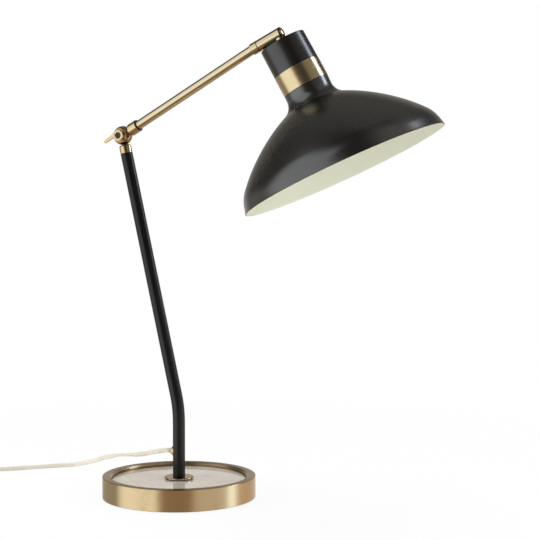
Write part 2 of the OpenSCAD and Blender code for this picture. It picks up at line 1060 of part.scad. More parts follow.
function at_end(p, i) =
    i < 0 ? 2 * p[0] - p[1]
    : i > len(p) - 1 ? 2 * p[len(p) - 1] - p[len(p) - 2]
    : p[i];
function between(p, i, u) =
    let (a = at_end(p, i - 1), b = at_end(p, i), c = at_end(p, i + 1), d = at_end(p, i + 2))
    0.5 * (2 * b + (c - a) * u + (2 * a - 5 * b + 4 * c - d) * u * u
        + (3 * b - a - 3 * c + d) * u * u * u);
function smooth(p) = concat(
    [for (i = [0 : len(p) - 2])
        each (norm(p[i + 1] - p[i]) > 3 * cord_d
            ? [between(p, i, 0), between(p, i, 0.5)]
            : [between(p, i, 0)])],
    [p[len(p) - 1]]
);
function length_of(p) =
    len(p) < 2 ? 0 : norm(p[1] - p[0]) + length_of([for (i = [1 : len(p) - 1]) p[i]]);

free_path = smooth(free_route);

module cord_free() {
    color("#e9e4d6")
        rope(free_path, cord_d / 2, 8);
}

// The coil's points. The turns are counted from the middle of the climb.
function coil_out(t) = abs(t) < 0.125 ? 4 * t * t + 0.0625 : abs(t);
function coil_up(t) =
    t < -0.25 ? 0
    : t > 0.25 ? 1
    : let (u = (t + 0.25) * 2) u * u * (3 - 2 * u);
function coil_lift(a) = tie_lift * (1 + cos(a - tie_a)) / 2;
function coil_point(t) =
    let (
        a = coil_start + 360 * (t + coil_in_turns),
        r = coil_in + coil_pitch * coil_out(t)
    )
    [
        coil_c[0] + r * cos(a),
        coil_c[1] + r * sin(a),
        cord_d / 2 + coil_pitch * coil_up(t) + coil_lift(a)
    ];
turns = coil_in_turns + coil_out_turns;
rings = ceil(24 * turns);
wound = [for (i = [0 : rings]) coil_point(turns * i / rings - coil_in_turns)];
function on_lead(d, z) = [
    switch_out[0] + d * heading[0], switch_out[1] + d * heading[1], z
];
function on_end(d, z) = [
    plug_at[0] - d * out_dir[0], plug_at[1] - d * out_dir[1], z
];
first_z = wound[0][2];
last_z = wound[rings][2];
coil_path = concat(
    [
        on_lead(0, switch_cord_z),
        on_lead(7, switch_cord_z),
        on_lead(18, (switch_cord_z + first_z) / 2),
        on_lead(30, first_z)
    ],
    wound,
    [
        on_end(17, last_z - (last_z - plug_axis_z) * 0.25),
        on_end(7, plug_axis_z),
        on_end(0, plug_axis_z)
    ]
);
coil_space = min([for (i = [0 : rings - 9], j = [i + 9 : rings]) norm(wound[i] - wound[j])]) - cord_d;
echo(str("least gap of the coil to itself: ", coil_space));
echo(str("cord length with switch: ", length_of(free_path) + switch_len + length_of(coil_path)));

module cord_coil() {
    color("#e9e4d6")
        rope(coil_path, cord_d / 2, 6);
}

module coil_tie() {
    in_r = coil_in - 4.6;
    out_r = coil_r1 + cord_d / 2 + 0.8;
    top = 2 * cord_d + coil_gap + tie_lift + 0.8;
    color("#2b2b2c")
        translate([coil_c[0], coil_c[1], 0])
            rotate([0, 0, tie_a])
                rotate([90, 0, 0])
                    translate([0, 0, -tie_w / 2])
                        linear_extrude(height = tie_w)
                            difference() {
                                translate([in_r - tie_t, 0])
                                    square([out_r - in_r + 2 * tie_t, top + tie_t]);
                                translate([in_r, tie_t])
                                    square([out_r - in_r, top - tie_t]);
                            }
}

// Switch on the lead
module switch_side() {
    rotate([90, 0, 90])
        linear_extrude(height = switch_len)
            polygon([
                [-switch_w / 2 + 1, 0],
                [switch_w / 2 - 1, 0],
                [switch_w / 2, 1],
                [switch_w / 2, switch_h - switch_chamfer],
                [switch_w / 2 - switch_chamfer, switch_h],
                [-switch_w / 2 + switch_chamfer, switch_h],
                [-switch_w / 2, switch_h - switch_chamfer],
                [-switch_w / 2, 1]
            ]);
}

module rocker_axis() {
    translate([switch_len / 2, 0, rocker_z])
        rotate([90, 0, 0])
            children();
}

module rocker_room() {
    intersection() {
        rocker_axis()
            cylinder(r = rocker_r + 0.4, h = rocker_w + 0.8, center = true);
        translate([0, -switch_w, rocker_z - rocker_floor - 1.4])
            cube([switch_len, 2 * switch_w, 40]);
    }
    rocker_axis()
        cylinder(r = axle_r + run, h = rocker_w + 2 * axle_out + 0.8, center = true);
}

module switch_base() {
    color("#e9e4d6")
        in_switch()
            difference() {
                intersection() {
                    switch_side();
                    translate([-1, -switch_w, 0])
                        cube([switch_len + 2, 2 * switch_w, switch_low]);
                }
                rocker_room();
            }
}

module switch_cover() {
    color("#e9e4d6")
        in_switch()
            difference() {
                intersection() {
                    switch_side();
                    translate([-1, -switch_w, switch_low])
                        cube([switch_len + 2, 2 * switch_w, switch_h]);
                }
                rocker_room();
            }
}

module switch_rocker() {
    color("#f2efe6")
        in_switch()
            rocker_axis()
                rotate([0, 0, rocker_tilt]) {
                    difference() {
                        cylinder(r = rocker_r, h = rocker_w, center = true);
                        translate([-20, -20 - rocker_floor, -10])
                            cube([40, 20, 20]);
                        translate([0, 6.2, -10])
                            linear_extrude(height = 20)
                                polygon([[-12, -1.9], [0, 0], [12, -1.9], [12, 8], [-12, 8]]);
                    }
                    cylinder(r = axle_r, h = rocker_w + 2 * axle_out, center = true);
                }
}

// Plug
module plug_relief() {
    color("#e9e4d6")
        in_plug()
            rotate([0, 90, 0])
                rotate_extrude()
                    polygon(concat(
                        [[0, 0], [cord_d / 2 + 0.6, 0]],
                        [for (i = [0 : 4])
                            each [
                                [cord_d / 2 + 0.8 + 0.55 * i, 2 + 4 * i],
                                [cord_d / 2 + 1.3 + 0.55 * i, 2.3 + 4 * i],
                                [cord_d / 2 + 1.3 + 0.55 * i, 4.2 + 4 * i],
                                [cord_d / 2 + 0.9 + 0.55 * i, 4.5 + 4 * i]
                            ]],
                        [[cord_d / 2 + 3.4, relief_len], [0, relief_len]]
                    ));
}

module plug_body() {
    color("#e9e4d6")
        in_plug()
            translate([relief_len, 0, 0])
                difference() {
                    intersection() {
                        translate([0, 0, -plug_h / 2])
                            linear_extrude(height = plug_h)
                                polygon([
                                    [0, -7], [12, -plug_w / 2], [plug_len_body, -plug_w / 2],
                                    [plug_len_body, plug_w / 2], [12, plug_w / 2], [0, 7]
                                ]);
                        rotate([90, 0, 90])
                            linear_extrude(height = plug_len_body)
                                polygon([
                                    [-plug_w / 2, -plug_h / 2 + 3], [-plug_w / 2 + 3, -plug_h / 2],
                                    [plug_w / 2 - 3, -plug_h / 2], [plug_w / 2, -plug_h / 2 + 3],
                                    [plug_w / 2, plug_h / 2 - 3], [plug_w / 2 - 3, plug_h / 2],
                                    [-plug_w / 2 + 3, plug_h / 2], [-plug_w / 2, plug_h / 2 - 3]
                                ]);
                    }
                    for (s = [-1, 1])
                        translate([14, s * 6.35 - 0.75 - fit, -3.2 - fit])
                            cube([20, 1.5 + 2 * fit, 6.4 + 2 * fit]);
                }
}

module plug_blades() {
    color("#c9b37a")
        in_plug()
            for (s = [-1, 1])
                translate([relief_len + 14 + fit, s * 6.35 - 0.75, -3.2])
                    cube([plug_len_body - 14 + blade_out, 1.5, 6.4]);
}

base_pad();
base_weight();
base_ring();
stone_disc();
flange_washer();
stem_flange();
stem_spigot();
foot_washer();
foot_nut();
stem_tube();
cord_bush();
stem_lead();
stem_ferrule();
ferrule_washer();
knuckle_lower();
knuckle_washer();
knuckle_upper();
wing_screw();
screw_insert();
arm_collar();
collar_ring();
arm_tube();
arm_lead();
arm_end_collar();
swivel_spindle();
spindle_nut();
swivel_washer();
head_barrel();
barrel_plug();
barrel_screw();
head_saddle();
head_stud();
cap_washer();
cap_nut();
head_cap();
head_band();
holder_dome();
holder_case();
holder_block();
holder_sleeve();
holder_skirt();
shade_ring();
shade_plate();
shade();
bulb_base();
bulb_glass();
head_lead();
cord_free();
switch_base();
switch_cover();
switch_rocker();
cord_coil();
coil_tie();
plug_relief();
plug_body();
plug_blades();
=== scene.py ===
import math

import bmesh
import bpy
from mathutils import Matrix, Vector


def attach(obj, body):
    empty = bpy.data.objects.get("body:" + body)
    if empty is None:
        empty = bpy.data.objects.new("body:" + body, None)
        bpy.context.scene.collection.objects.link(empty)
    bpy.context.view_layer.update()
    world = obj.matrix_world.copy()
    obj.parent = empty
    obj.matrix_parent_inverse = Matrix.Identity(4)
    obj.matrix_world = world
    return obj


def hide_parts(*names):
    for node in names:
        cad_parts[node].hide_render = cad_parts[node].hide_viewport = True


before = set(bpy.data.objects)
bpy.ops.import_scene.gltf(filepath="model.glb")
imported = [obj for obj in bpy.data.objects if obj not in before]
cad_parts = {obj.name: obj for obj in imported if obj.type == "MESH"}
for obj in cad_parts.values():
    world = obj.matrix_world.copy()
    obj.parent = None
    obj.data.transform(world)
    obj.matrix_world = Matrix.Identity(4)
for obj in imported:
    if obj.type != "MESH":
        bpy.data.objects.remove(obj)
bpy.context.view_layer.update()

# The camera.
# It stands about two metres off, 30 degrees round to the front right of the
# lamp's own plane and a little below the height of the knuckle.
MM = 0.001
VIEW_AZIMUTH = math.radians(30)
VIEW_HEIGHT = math.radians(3.23)
CAMERA_FAR = 2.013
LOOKED_AT = (0.119, 0.3079)
PICTURE_PX = 540
FOCAL_PX = 1550
SHIFT_PX = -8
to_right = Vector((math.cos(VIEW_AZIMUTH), math.sin(VIEW_AZIMUTH), 0))
to_camera = Vector((
    math.sin(VIEW_AZIMUTH) * math.cos(VIEW_HEIGHT),
    -math.cos(VIEW_AZIMUTH) * math.cos(VIEW_HEIGHT),
    math.sin(VIEW_HEIGHT),
))
looked_at = to_right * LOOKED_AT[0] + Vector((0, 0, LOOKED_AT[1]))


def add_object(name, data):
    """An object that stands at the origin."""
    obj = bpy.data.objects.new(name, data)
    bpy.context.scene.collection.objects.link(obj)
    return obj


camera_data = bpy.data.cameras.new("camera")
camera_data.sensor_width = 36
camera_data.lens = FOCAL_PX * 36 / PICTURE_PX
camera_data.shift_y = SHIFT_PX / PICTURE_PX
camera_data.clip_end = 60
camera = add_object("camera", camera_data)
camera.matrix_world = (
    Matrix.Translation(looked_at + to_camera * CAMERA_FAR)
    @ to_camera.to_track_quat("Z", "Y").to_matrix().to_4x4()
)
bpy.context.scene.camera = camera


# The cord.
# A flat ivory twin lead, 6 mm wide and 3 mm thick, with a valley between its
# two cores. It leaves the stem through a bush, hangs down over the edge of the
# base, stands on its narrow side on the table and goes on to a switch.
CORD_W = 6 * MM
CORD_T = 3 * MM
CORD_SIDES = 20
ROUND_W, ROUND_T = 0.85, 0.6
VALLEY_DEPTH, VALLEY_W = 0.22, 0.75
EXIT_Z = 60
SWITCH_TURN = math.radians(231.7)
SWITCH_AT = (-333, -5.5)
SWITCH_LEN = 55
SWITCH_Z = 5
STRAIGHT = 7
along_switch = (math.cos(SWITCH_TURN), math.sin(SWITCH_TURN))


def on_line(start, way, d, z):
    """The point at height z that lies d along a level line from its start."""
    return Vector((start[0] + d * way[0], start[1] + d * way[1], z))


free_route = [
    (-12.3, 0, EXIT_Z), (-19.3, 0, EXIT_Z), (-42, 3, 55), (-69, 14, 48),
    (-99, 29, 42), (-133, 49, 35), (-174, 76, 24), (-208, 92, 13),
    (-240, 94, 5), (-264, 80, 3), (-288, 51, 3), (-302, 33.5, 3),
    (-316, 16, 3.5),
    on_line(SWITCH_AT, along_switch, -STRAIGHT, SWITCH_Z),
    on_line(SWITCH_AT, along_switch, 0, SWITCH_Z),
]


def smooth_way(points, steps):
    """A curve through all the points, straight in line with its first and last steps."""
    p = [Vector(q) for q in points]
    p = [2 * p[0] - p[1]] + p + [2 * p[-1] - p[-2]]
    way = []
    for a, b, c, d in zip(p, p[1:], p[2:], p[3:]):
        n = steps if (c - b).length > 18 else 1
        for k in range(n):
            u = k / n
            way.append(0.5 * (2 * b + (c - a) * u + (2 * a - 5 * b + 4 * c - d) * u ** 2
                              + (3 * b - a - 3 * c + d) * u ** 3))
    return way + [p[-2]]


def add_cord(name, route, rolls, fine):
    """The twin lead along a route, and its length in metres.

    rolls gives its roll by the share of the way: 0 on its edge, 1 on its wide side.
    """
    way = route if fine == 1 else smooth_way(route, fine)
    far = [0.0]
    for a, b in zip(way, way[1:]):
        far.append(far[-1] + (b - a).length)
    mesh = bmesh.new()
    uv = mesh.loops.layers.uv.new("UVMap")
    half_w, half_t = CORD_W / 2 / MM, CORD_T / 2 / MM
    rings = []
    for i, centre in enumerate(way):
        ahead = (way[min(i + 1, len(way) - 1)] - way[max(i - 1, 0)]).normalized()
        side = ahead.cross(Vector((0, 0, 1))).normalized()
        up = side.cross(ahead)
        share = far[i] / far[-1]
        roll = 0.0
        for (a, ra), (b, rb) in zip(rolls, rolls[1:]):
            if a <= share <= b:
                u = (share - a) / (b - a)
                roll = ra + (rb - ra) * u * u * (3 - 2 * u)
        turn = roll * math.pi / 2
        wide = up * math.cos(turn) + side * math.sin(turn)
        thin = side * math.cos(turn) - up * math.sin(turn)
        ring = []
        for k in range(CORD_SIDES):
            t = 2 * math.pi * k / CORD_SIDES
            w = half_w * math.copysign(abs(math.cos(t)) ** ROUND_W, math.cos(t))
            valley = 1 - VALLEY_DEPTH * math.exp(-(w / VALLEY_W) ** 2)
            h = half_t * math.copysign(abs(math.sin(t)) ** ROUND_T, math.sin(t)) * valley
            ring.append(mesh.verts.new((centre + wide * w + thin * h) * MM))
        rings.append(ring)
    for i in range(len(rings) - 1):
        for k in range(CORD_SIDES):
            n = (k + 1) % CORD_SIDES
            face = mesh.faces.new((rings[i][k], rings[i][n], rings[i + 1][n], rings[i + 1][k]))
            for loop, (u, v) in zip(face.loops, ((k, i), (k + 1, i), (k + 1, i + 1), (k, i + 1))):
                loop[uv].uv = (u / CORD_SIDES, far[v] * MM * 10)
    mesh.faces.new(rings[0][::-1])
    mesh.faces.new(rings[-1])
    bmesh.ops.recalc_face_normals(mesh, faces=mesh.faces)
    for face in mesh.faces:
        face.smooth = True
    data = bpy.data.meshes.new(name)
    mesh.to_mesh(data)
    mesh.free()
    return add_object(name, data), far[-1] * MM


def stands_for(piece, body, slot, *nodes):
    """Lets a piece ride on a body in place of CAD nodes. The slot is not used."""
    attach(piece, body)
    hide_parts(*nodes)
    return piece


lead_path = smooth_way(free_route, 2)
lead, lead_len = add_cord(
    "twin_lead", free_route,
    [(0, 0), (0.12, 0.05), (0.25, 0.75), (0.33, 0.75), (0.46, 0), (1, 0)], 6)
stands_for(lead, "base", "cord", "cord_free")
tuple(lead_path[0] * MM)
[tuple(q * MM) for q in lead_path]

# The coil is wound inwards on the table and outwards on top of that, and one
# side of it lies on the tie. Its far end runs straight into the plug's relief.
COIL_IN = 21
COIL_PITCH = 6.5
TURNS_IN = 3
TURNS_OUT = 3.439
COIL_START = math.radians(141.7)
TIE_AT = math.radians(215)
TIE_LIFT = 1.6
LEAD_IN = 40
LEAD_OUT = 26
PLUG_Z = 7.5
switch_out = on_line(SWITCH_AT, along_switch, SWITCH_LEN, 0)
r_first = COIL_IN + COIL_PITCH * TURNS_IN
r_last = COIL_IN + COIL_PITCH * TURNS_OUT
coil_end = COIL_START + 2 * math.pi * (TURNS_IN + TURNS_OUT)
coil_centre = switch_out + Vector((
    LEAD_IN * along_switch[0] - r_first * math.cos(COIL_START),
    LEAD_IN * along_switch[1] - r_first * math.sin(COIL_START), 0))
end_way = Vector((-math.sin(coil_end), math.cos(coil_end), 0))
plug_at = (coil_centre + Vector((r_last * math.cos(coil_end), r_last * math.sin(coil_end), 0))
           + LEAD_OUT * end_way)


def wound_point(t):
    """A point of the coil: t counts the turns from the middle, inwards below 0."""
    a = COIL_START + 2 * math.pi * (t + TURNS_IN)
    r = COIL_IN + COIL_PITCH * (4 * t * t + 0.0625 if abs(t) < 0.125 else abs(t))
    u = min(max((t + 0.25) * 2, 0), 1)
    z = 3 + COIL_PITCH * u * u * (3 - 2 * u) + TIE_LIFT * (1 + math.cos(a - TIE_AT)) / 2
    return coil_centre + Vector((r * math.cos(a), r * math.sin(a), z))


steps = math.ceil(24 * (TURNS_IN + TURNS_OUT))
wound = [wound_point((TURNS_IN + TURNS_OUT) * i / steps - TURNS_IN) for i in range(steps + 1)]
coil_path = [
    on_line(switch_out, along_switch, 0, SWITCH_Z),
    on_line(switch_out, along_switch, STRAIGHT, SWITCH_Z),
    on_line(switch_out, along_switch, 18, (SWITCH_Z + wound[0].z) / 2),
    on_line(switch_out, along_switch, 30, wound[0].z),
] + wound + [
    on_line(plug_at, end_way, -17, wound[-1].z - (wound[-1].z - PLUG_Z) * 0.25),
    on_line(plug_at, end_way, -STRAIGHT, PLUG_Z),
    on_line(plug_at, end_way, 0, PLUG_Z),
]
coil, coil_len = add_cord("wound_lead", coil_path, [(0, 0), (0.97, 0), (1, 1)], 1)
stands_for(coil, "base", "cord", "cord_coil")
tuple(coil_path[0] * MM)
[tuple(q * MM) for q in coil_path]


class Value:
    """A number that changes over a surface, with Python's own arithmetic."""

    def __init__(self, finish, socket):
        self.finish, self.socket = finish, socket

    def join(self, operation, first, second):
        return self.finish.maths(operation, first, second)

    def __add__(self, other):
        return self.join("ADD", self, other)

    def __radd__(self, other):
        return self.join("ADD", other, self)

    def __sub__(self, other):
        return self.join("SUBTRACT", self, other)

    def __rsub__(self, other):
        return self.join("SUBTRACT", other, self)

    def __mul__(self, other):
        return self.join("MULTIPLY", self, other)

    def __rmul__(self, other):
        return self.join("MULTIPLY", other, self)


class Finish:
    """A material, with the values that are the same all over it set on its shader."""

    def __init__(self, name, **constants):
        self.material = bpy.data.materials.new(name)
        self.material.use_nodes = True
        self.tree = self.material.node_tree
        self.shader = self.tree.nodes["Principled BSDF"]
        for key, value in constants.items():
            self.shader.inputs[key.replace("_", " ")].default_value = value

    def node(self, kind, settings, *inputs, out=0, **named):
        made = self.tree.nodes.new(kind)
        for key, value in settings.items():
            if key == "stops":
                ramp = made.color_ramp
                while len(ramp.elements) < len(value):
                    ramp.elements.new(0.5)
                for stop, (place, colour) in zip(ramp.elements, value):
                    stop.position, stop.color = place, (*colour, 1)
            else:
                setattr(made, key, value)
        wanted = list(enumerate(inputs)) + [(k.replace("_", " "), v) for k, v in named.items()]
        for key, value in wanted:
            if isinstance(value, Value):
                self.tree.links.new(value.socket, made.inputs[key])
            elif value is not None:
                made.inputs[key].default_value = value
        return Value(self, made.outputs[out])

    def place(self):
        return self.node("ShaderNodeTexCoord", {}, out="Object")

    def maths(self, operation, *values):
        return self.node("ShaderNodeMath", {"operation": operation}, *values)

    def vector(self, operation, first, second=None):
        out = "Value" if operation in ("DOT_PRODUCT", "LENGTH") else "Vector"
        return self.node("ShaderNodeVectorMath", {"operation": operation}, first, second, out=out)

    def scaled(self, vector, factor):
        return self.node("ShaderNodeVectorMath", {"operation": "SCALE"}, vector, Scale=factor)

    def noise(self, vector, scale, detail=3.0, roughness=0.5):
        return self.node("ShaderNodeTexNoise", {}, Vector=vector, Scale=scale, Detail=detail,
                         Roughness=roughness)

    def step(self, value, low, high, to_low=0.0, to_high=1.0):
        return self.node("ShaderNodeMapRange", {"interpolation_type": "SMOOTHSTEP"},
                         value, low, high, to_low, to_high)

    def blend(self, share, first, second, kind="MIX"):
        made = self.tree.nodes.new("ShaderNodeMix")
        made.data_type, made.blend_type = "RGBA", kind
        for key, value in ((0, share), (6, first), (7, second)):
            if isinstance(value, Value):
                self.tree.links.new(value.socket, made.inputs[key])
            else:
                made.inputs[key].default_value = value if key == 0 else (*value, 1)
        return Value(self, made.outputs[2])

    def feed(self, key, value):
        self.tree.links.new(value.socket, self.shader.inputs[key])

    def bump(self, height, strength, distance):
        self.feed("Normal", self.node("ShaderNodeBump", {}, Strength=strength,
                                      Distance=distance, Height=height))


def dress(obj, *finishes):
    """Gives a piece its finishes, in place of those that it came with."""
    obj.data.materials.clear()
    for finish in finishes:
        obj.data.materials.append(finish.material)


def mottled(name, scale, detail, dark, pale, grain=None, **constants):
    """A finish whose colour drifts between two tones.

    grain gives its bump: the scale and detail of the noise, its strength and distance.
    """
    finish = Finish(name, **constants)
    drifting = finish.noise(finish.place(), scale, detail)
    finish.feed("Base Color", finish.blend(drifting, dark, pale))
    if grain:
        fine, layers, strength, distance = grain
        finish.bump(finish.noise(finish.place(), fine, layers), strength, distance)
    return finish


ivory = Finish("ivory_lead", Roughness=0.32, IOR=1.46, Subsurface_Weight=0.15,
               Subsurface_Radius=(0.002, 0.0016, 0.001))
spots = ivory.noise(ivory.place(), 45, 3)
ivory.feed("Base Color", ivory.blend(ivory.step(spots, 0.3, 0.7),
                                     (0.70, 0.66, 0.55), (0.76, 0.72, 0.61)))
ivory.feed("Roughness", ivory.step(ivory.noise(ivory.place(), 300), 0.3, 0.7, 0.30, 0.38))
ivory.bump(ivory.noise(ivory.place(), 900, 2), 0.03, 0.0001)
dress(lead, ivory)
dress(coil, ivory)


# The base.
# A spun brass ring with a narrow flat top and a bevel down to a recess, brushed
# round and lacquered, over a cast weight. A disc of polished pale stone lies in it.
BASE_R, BASE_H = 100, 29
RECESS_R, RECESS_FLOOR = 87.7, 16
STONE_R, STONE_TOP = 87.4, 24
BORE_R = 5.3
FLANGE_R, FLANGE_LOW, FLANGE_TOP = 19.25, 25.3, 27.2


def soften(outline, radius, steps=4):
    """Rounds the corners of an outline, each no further than its sides allow."""
    done = []
    for i, corner in enumerate(outline):
        here = Vector(corner[:2])
        r = corner[2] if len(corner) > 2 else radius
        if i in (0, len(outline) - 1) or r == 0:
            done.append(here)
            continue
        back, ahead = Vector(outline[i - 1][:2]) - here, Vector(outline[i + 1][:2]) - here
        bend = math.pi - back.angle(ahead)
        if bend < 0.05:
            done.append(here)
            continue
        cut = min(r * math.tan(bend / 2), back.length * 0.45, ahead.length * 0.45)
        a, b = here + back.normalized() * cut, here + ahead.normalized() * cut
        for k in range(steps + 1):
            u = k / steps
            done.append(a * (1 - u) ** 2 + here * 2 * u * (1 - u) + b * u * u)
    return done


def finish_mesh(mesh, name, place=None, sharp=38):
    """Makes a piece of a bmesh in millimetres and puts its place into its mesh."""
    bmesh.ops.remove_doubles(mesh, verts=mesh.verts, dist=0.0005)
    bmesh.ops.recalc_face_normals(mesh, faces=mesh.faces)
    if place is not None:
        bmesh.ops.transform(mesh, matrix=place, verts=mesh.verts)
    bmesh.ops.scale(mesh, vec=(MM, MM, MM), verts=mesh.verts)
    for face in mesh.faces:
        face.smooth = True
    for edge in mesh.edges:
        if len(edge.link_faces) == 2 and edge.calc_face_angle(0) > math.radians(sharp):
            edge.smooth = False
    data = bpy.data.meshes.new(name)
    mesh.to_mesh(data)
    mesh.free()
    piece = add_object(name, data)
    weigh = piece.modifiers.new("even_shading", "WEIGHTED_NORMAL")
    weigh.keep_sharp = True
    return piece


def turned(name, outline, place=None, segments=128, radius=0.3, steps=4, sharp=38):
    """A piece turned on a lathe: its outline in (radius, height), spun round +Z."""
    mesh = bmesh.new()
    points = soften([tuple(q) for q in outline], radius, steps)
    verts = [mesh.verts.new((q[0], 0, q[1])) for q in points]
    for a, b in zip(verts, verts[1:]):
        mesh.edges.new((a, b))
    bmesh.ops.spin(mesh, geom=mesh.verts[:] + mesh.edges[:], cent=(0, 0, 0), axis=(0, 0, 1),
                   angle=2 * math.pi, steps=segments, use_merge=True)
    return finish_mesh(mesh, name, place, sharp)


def brushed_brass(name, origin, axis, tint=(0.60, 0.47, 0.27), shine=0.24, lines=1.0,
                  stain=1.0, shaded_faces=None, **constants):
    """Brass with fine brush lines round an axis and a little tarnish.

    Where the darker faces are given, they are a top face (its heights and colour) and the
    wall of a recess (its radius, height and colour), painted darker than the rest:
    painted shade in the recess and a painted dark reflection on the top.
    """
    brass = Finish(name, Metallic=1.0, **constants)
    from_origin = brass.vector("SUBTRACT", brass.place(), tuple(Vector(origin) * MM))
    height = brass.vector("DOT_PRODUCT", from_origin, tuple(axis))
    out = brass.vector("SUBTRACT", from_origin, brass.scaled(tuple(axis), height))
    reach = brass.vector("LENGTH", out)
    round_about = brass.vector("NORMALIZE", out)
    # The lines run round, so the pattern hardly changes on the way round.
    way = brass.node("ShaderNodeCombineXYZ", {}, reach * 900.0, height * 900.0,
                     brass.vector("DOT_PRODUCT", round_about, (1.1, 0.7, 0.4)))
    hair = brass.noise(way, 1.0, 2, 0.6)
    cloud = brass.noise(from_origin, 38, 4, 0.6)
    dull = brass.step(cloud, 0.50, 0.78) * (0.22 * stain)
    deep = tuple(c * k for c, k in zip(tint, (0.62, 0.52, 0.42)))
    pale = tuple(min(c * k, 1) for c, k in zip(tint, (1.10, 1.10, 1.12)))
    colour = brass.blend(brass.step(hair, 0.3, 0.7) * (0.6 * lines), tint, pale)
    colour = brass.blend(dull, colour, deep)
    # Painted shade: the top face and the recess wall are painted darker, the top for the dim
    # surround that it mirrors and the recess wall for the shadow in the gap by the stone.
    if shaded_faces:
        (low, high, top_shade_tone), (inner, wall_top, dark) = shaded_faces
        colour = brass.blend(brass.step(height, low * MM, high * MM) * 0.8, colour, top_shade_tone)
        recess = (brass.step(reach, (inner + 0.3) * MM, inner * MM)
                  * brass.step(height, wall_top * MM, (wall_top - 0.3) * MM))
        colour = brass.blend(recess * 0.85, colour, dark)
    brass.feed("Base Color", colour)
    brass.feed("Roughness", shine + (hair - 0.5) * (0.10 * lines) + dull * 0.2)
    brass.bump(hair, 0.05 * lines, 0.0001)
    return brass


Z = Vector((0, 0, 1))
ring_wall = turned("brass_ring", [
    (96, 8), (96, 1), (BASE_R, 1, 0.6), (BASE_R, BASE_H, 0.9), (90, BASE_H, 0.35),
    (87.75, 26.7, 0.3), (RECESS_R, RECESS_FLOOR), (96, RECESS_FLOOR), (96, 8)], segments=256)
# The ring's flat top and the wall of its recess get darker colours: a painted dark reflection on
# the top and painted shade in the recess.
dress(stands_for(ring_wall, "base", "brass", "base_ring"),
      brushed_brass("ring_brass", (0, 0, 0), Z, tint=(0.60, 0.47, 0.27), shine=0.32,
                    shaded_faces=((28.5, 28.9, (0.40, 0.29, 0.17)), (88.0, 26.8, (0.13, 0.08, 0.04))),
                    Anisotropic=0.8, Anisotropic_Rotation=0.25))

stone = Finish("polished_stone", IOR=1.55, Coat_Weight=1.0, Coat_IOR=1.6,
               Coat_Roughness=0.03)
spot = stone.place()
swirl = stone.node("ShaderNodeTexNoise", {}, Vector=spot, Scale=16, Detail=4, out="Color")
warp = stone.vector("ADD", spot, stone.scaled(swirl, 0.05))
drift = stone.noise(warp, 14, 5, 0.55)
vein = stone.noise(warp, 22, 6, 0.6)
line = 1.0 - stone.step(stone.maths("ABSOLUTE", vein - 0.5), 0.0, 0.022)
body = stone.node("ShaderNodeValToRGB", {"stops": [
    (0.25, (0.66, 0.55, 0.47)), (0.45, (0.77, 0.67, 0.59)), (0.6, (0.85, 0.76, 0.68)),
    (0.8, (0.72, 0.68, 0.65))]}, drift)
stone.feed("Base Color", stone.blend(line * 0.35, body, (0.50, 0.44, 0.40)))
stone.feed("Roughness", stone.step(stone.noise(spot, 120), 0.3, 0.7, 0.025, 0.055))
stone_disc = turned("stone_plate", [
    (BORE_R, 20), (BORE_R, STONE_TOP), (STONE_R, STONE_TOP, 0.5), (STONE_R, RECESS_FLOOR),
    (BORE_R, RECESS_FLOOR), (BORE_R, 20)], segments=192)
dress(stands_for(stone_disc, "base", "stone", "stone_disc"), stone)

soft_black = mottled("black_rubber", 200, 3, (0.010, 0.010, 0.011), (0.028, 0.028, 0.030),
                     (1500, 2, 0.25, 0.0003), Roughness=0.75, Specular_IOR_Level=0.35)
for name in ("base_pad", "flange_washer"):
    dress(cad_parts[name], soft_black)

cast = mottled("cast_weight", 90, 5, (0.05, 0.05, 0.055), (0.13, 0.12, 0.12),
               (400, 4, 0.4, 0.0008), Roughness=0.6, Metallic=0.4)
dress(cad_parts["base_weight"], cast)

flange = turned("stem_rosette", [
    (BORE_R, 26), (BORE_R, FLANGE_LOW), (FLANGE_R, FLANGE_LOW, 0.9),
    (FLANGE_R, FLANGE_TOP, 0.9), (8.05, FLANGE_TOP), (BORE_R, FLANGE_TOP), (BORE_R, 26)],
    radius=0.2)
dress(stands_for(flange, "base", "brass", "stem_flange"),
      brushed_brass("rosette_brass", (0, 0, 0), Z, tint=(0.50, 0.39, 0.22), shine=0.2))

zinc = mottled("zinc_plate", 150, 4, (0.46, 0.46, 0.47), (0.62, 0.62, 0.64), Metallic=1.0)
zinc.feed("Roughness", zinc.step(zinc.noise(zinc.place(), 500, 3), 0.3, 0.7, 0.25, 0.45))
for name in ("stem_spigot", "foot_washer", "foot_nut", "swivel_spindle", "spindle_nut",
             "head_stud", "cap_washer", "cap_nut", "bulb_base"):
    dress(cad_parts[name], zinc)


# The stem.
# A steel tube of 16 mm, bent once near its foot and coated in satin black. A
# small brass bush low on its back lets the cord out.
LEAN = math.radians(13.7)
BEND_R = 150
BEND_Z = 116.6
STEM_LEN = 366.5
BALL = Vector((-STEM_LEN * math.sin(LEAN), 0, BEND_Z + STEM_LEN * math.cos(LEAN)))
in_stem = Matrix.Translation(BALL) @ Matrix.Rotation(-LEAN, 4, "Y")
BALL_R = 12.6
STEM_R = 8
FERRULE_AT = BALL_R + 2.1
STEM_TOP = FERRULE_AT + 9.3


def satin_coat(name, level, rough, ior=1.5):
    """Black coating, a little duller in places, with very fine dust in it."""
    coat = Finish(name, IOR=ior, Specular_IOR_Level=level)
    dust = coat.noise(coat.place(), 500, 2, 0.5)
    coat.feed("Base Color", coat.blend(coat.step(dust, 0.5, 0.9) * 0.4,
                                       (0.0025, 0.0025, 0.0025), (0.0050, 0.0050, 0.0052)))
    coat.feed("Roughness", coat.step(coat.noise(coat.place(), 30, 4), 0.3, 0.7,
                                     rough - 0.02, rough + 0.03))
    coat.bump(coat.noise(coat.place(), 900, 1), 0.012, 0.00005)
    return coat


stem_coat = satin_coat("stem_coat", 0.38, 0.30)
cap_coat = satin_coat("cap_coat", 0.85, 0.27)
shade_coat = satin_coat("shade_coat", 0.85, 0.27, 1.7)

